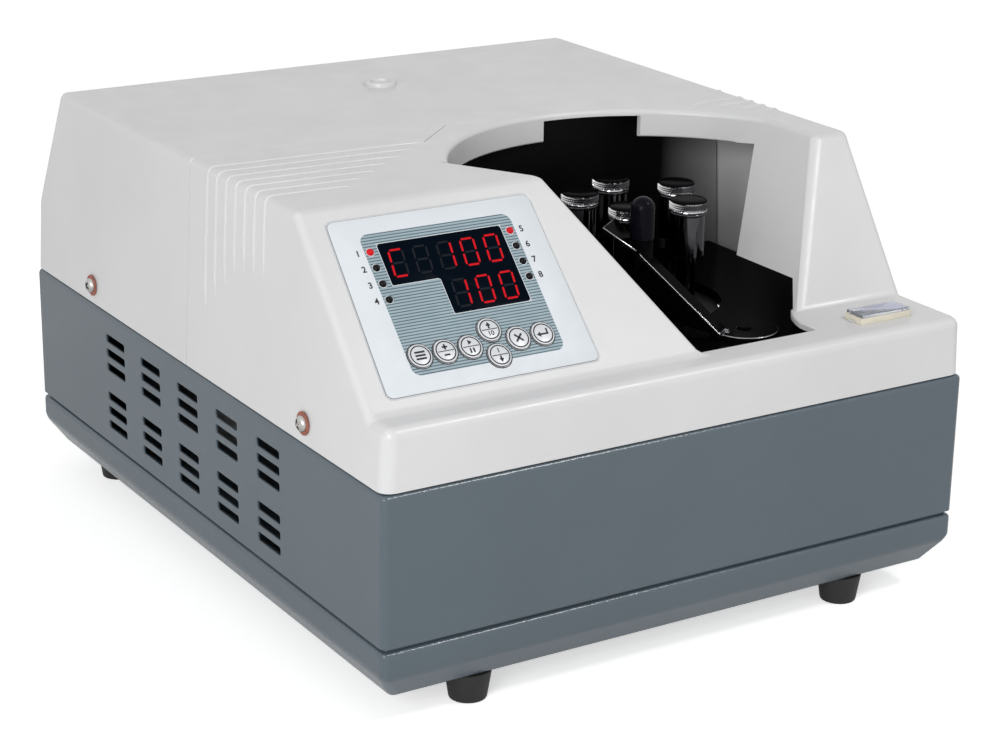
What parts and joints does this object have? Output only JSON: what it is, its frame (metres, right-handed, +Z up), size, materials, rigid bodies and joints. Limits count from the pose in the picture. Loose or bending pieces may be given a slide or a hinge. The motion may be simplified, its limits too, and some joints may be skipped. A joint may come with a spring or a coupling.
{
  "type": "banknote counter",
  "caption": "Desk-top banknote counter with grey ventilated base, white covers, sloping keypad and display, and an open note pocket with a turning ring of suction spindles.",
  "frame": {"origin": "centre of the footprint on the floor under the feet", "axes": "+X to the right as seen by the user, +Y to the rear, +Z up"},
  "size_m": [0.386, 0.454, 0.2571],
  "materials": {
    "white_plastic": "fine pebble texture",
    "grey_paint": "orange peel enamel",
    "black_rubber": "matt",
    "steel": "zinc plated",
    "brass": "plain",
    "red_fibre": "matt",
    "panel_sheet": "satin printed sheet",
    "dark_window": "gloss",
    "black_plastic": "satin",
    "board_green": "solder mask",
    "lamp_red": "lit red lens",
    "lamp_dark": "unlit lens",
    "cream_plastic": "satin",
    "clear_lens": "clear lens over a pale label",
    "black_paint": "satin black",
    "chrome": "polished",
    "dark_steel": "blackened",
    "aluminium": "turned",
    "pump_iron": "painted casting",
    "key_white": "satin",
    "knurled_steel": "knurled, black top"
  },
  "bodies": {
    "housing": {"base_tray": "grey_paint", "feet": "black_rubber", "foot_screws": "steel", "base_screws": "brass", "lower_shell": "grey_paint", "rear_cover": "white_plastic", "front_cover": "white_plastic", "top_cap": "white_plastic", "cover_screws": "steel", "fibre_washers": "red_fibre", "panel_overlay": "panel_sheet", "display_window": "dark_window", "display_module": "black_plastic", "keypad_board": "board_green", "lit_lamps": "lamp_red", "dark_lamps": "lamp_dark", "start_switch": "black_plastic", "deck_plate": "black_paint", "bulkhead": "black_paint", "sun_column": "steel", "drive_belt": "black_rubber", "drive_motor": "dark_steel", "frame_plate": "steel", "frame_posts": "steel", "vacuum_union": "brass", "vacuum_hose": "black_rubber", "vacuum_pump": "pump_iron", "inlet_filter": "aluminium", "main_board": "board_green", "transformer": "dark_steel", "power_inlet": "black_plastic", "power_switch": "black_plastic"},
    "head": {"rotor": "dark_steel", "rotor_pulley": "aluminium"},
    "spindle_unit_1": {"spindle_1": "chrome", "cap_1": "knurled_steel"},
    "spindle_unit_2": {"spindle_2": "chrome", "cap_2": "knurled_steel"},
    "spindle_unit_3": {"spindle_3": "chrome", "cap_3": "knurled_steel"},
    "spindle_unit_4": {"spindle_4": "chrome", "cap_4": "knurled_steel"},
    "spindle_unit_5": {"spindle_5": "chrome", "cap_5": "knurled_steel"},
    "motor_rotor": {"motor_shaft": "steel", "motor_pulley": "aluminium"},
    "holder": {"holder_plate": "black_paint", "holder_shaft": "steel", "clamp_post": "black_plastic"},
    "key_unit_1": {"key_1": "key_white"},
    "key_unit_2": {"key_2": "key_white"},
    "key_unit_3": {"key_3": "key_white"},
    "key_unit_4": {"key_4": "key_white"},
    "key_unit_5": {"key_5": "key_white"},
    "key_unit_6": {"key_6": "key_white"},
    "key_unit_7": {"key_7": "key_white"},
    "start": {"start_button": "cream_plastic", "start_lens": "clear_lens"},
    "rocker": {"power_rocker": "black_plastic"}
  },
  "joints": [
    {"name": "head_spin", "type": "hinge", "parent": "housing", "child": "head", "pos_m": [0.065, -0.075, 0.15], "axis": [0, 0, 1], "continuous": true},
    {"name": "spindle_1_spin", "type": "hinge", "parent": "head", "child": "spindle_unit_1", "pos_m": [0.08104, -0.10441, 0.18], "axis": [0, 0, 1], "continuous": true},
    {"name": "spindle_2_spin", "type": "hinge", "parent": "head", "child": "spindle_unit_2", "pos_m": [0.09793, -0.06884, 0.18], "axis": [0, 0, 1], "continuous": true},
    {"name": "spindle_3_spin", "type": "hinge", "parent": "head", "child": "spindle_unit_3", "pos_m": [0.06932, -0.04178, 0.18], "axis": [0, 0, 1], "continuous": true},
    {"name": "spindle_4_spin", "type": "hinge", "parent": "head", "child": "spindle_unit_4", "pos_m": [0.03474, -0.06063, 0.18], "axis": [0, 0, 1], "continuous": true},
    {"name": "spindle_5_spin", "type": "hinge", "parent": "head", "child": "spindle_unit_5", "pos_m": [0.04198, -0.09934, 0.18], "axis": [0, 0, 1], "continuous": true},
    {"name": "motor_spin", "type": "hinge", "parent": "housing", "child": "motor_rotor", "pos_m": [0.065, 0.095, 0.1], "axis": [0, 0, 1], "continuous": true},
    {"name": "holder_swing", "type": "hinge", "parent": "housing", "child": "holder", "pos_m": [0.082, -0.161, 0.157], "axis": [0, 0, 1], "range_deg": [0, 20]},
    {"name": "key_1_press", "type": "slide", "parent": "housing", "child": "key_unit_1", "axis": [0, 0.7071, -0.7071], "range_m": [0, 0.0006], "stiffness_N_per_m": 400, "springref_m": -0.001},
    {"name": "key_2_press", "type": "slide", "parent": "housing", "child": "key_unit_2", "axis": [0, 0.7071, -0.7071], "range_m": [0, 0.0006], "stiffness_N_per_m": 400, "springref_m": -0.001},
    {"name": "key_3_press", "type": "slide", "parent": "housing", "child": "key_unit_3", "axis": [0, 0.7071, -0.7071], "range_m": [0, 0.0006], "stiffness_N_per_m": 400, "springref_m": -0.001},
    {"name": "key_4_press", "type": "slide", "parent": "housing", "child": "key_unit_4", "axis": [0, 0.7071, -0.7071], "range_m": [0, 0.0006], "stiffness_N_per_m": 400, "springref_m": -0.001},
    {"name": "key_5_press", "type": "slide", "parent": "housing", "child": "key_unit_5", "axis": [0, 0.7071, -0.7071], "range_m": [0, 0.0006], "stiffness_N_per_m": 400, "springref_m": -0.001},
    {"name": "key_6_press", "type": "slide", "parent": "housing", "child": "key_unit_6", "axis": [0, 0.7071, -0.7071], "range_m": [0, 0.0006], "stiffness_N_per_m": 400, "springref_m": -0.001},
    {"name": "key_7_press", "type": "slide", "parent": "housing", "child": "key_unit_7", "axis": [0, 0.7071, -0.7071], "range_m": [0, 0.0006], "stiffness_N_per_m": 400, "springref_m": -0.001},
    {"name": "start_press", "type": "slide", "parent": "housing", "child": "start", "axis": [0, 0, -1], "range_m": [0, 0.0025], "stiffness_N_per_m": 300, "springref_m": -0.003},
    {"name": "power_rock", "type": "hinge", "parent": "housing", "child": "rocker", "pos_m": [-0.06, 0.218, 0.088], "axis": [1, 0, 0], "range_deg": [0, 16]}
  ],
  "couplings": [
    {"joint": "spindle_1_spin", "follows": "head_spin", "ratio": 2.0455},
    {"joint": "spindle_2_spin", "follows": "head_spin", "ratio": 2.0455},
    {"joint": "spindle_3_spin", "follows": "head_spin", "ratio": 2.0455},
    {"joint": "spindle_4_spin", "follows": "head_spin", "ratio": 2.0455},
    {"joint": "spindle_5_spin", "follows": "head_spin", "ratio": 2.0455},
    {"joint": "motor_spin", "follows": "head_spin", "ratio": 2}
  ]
}
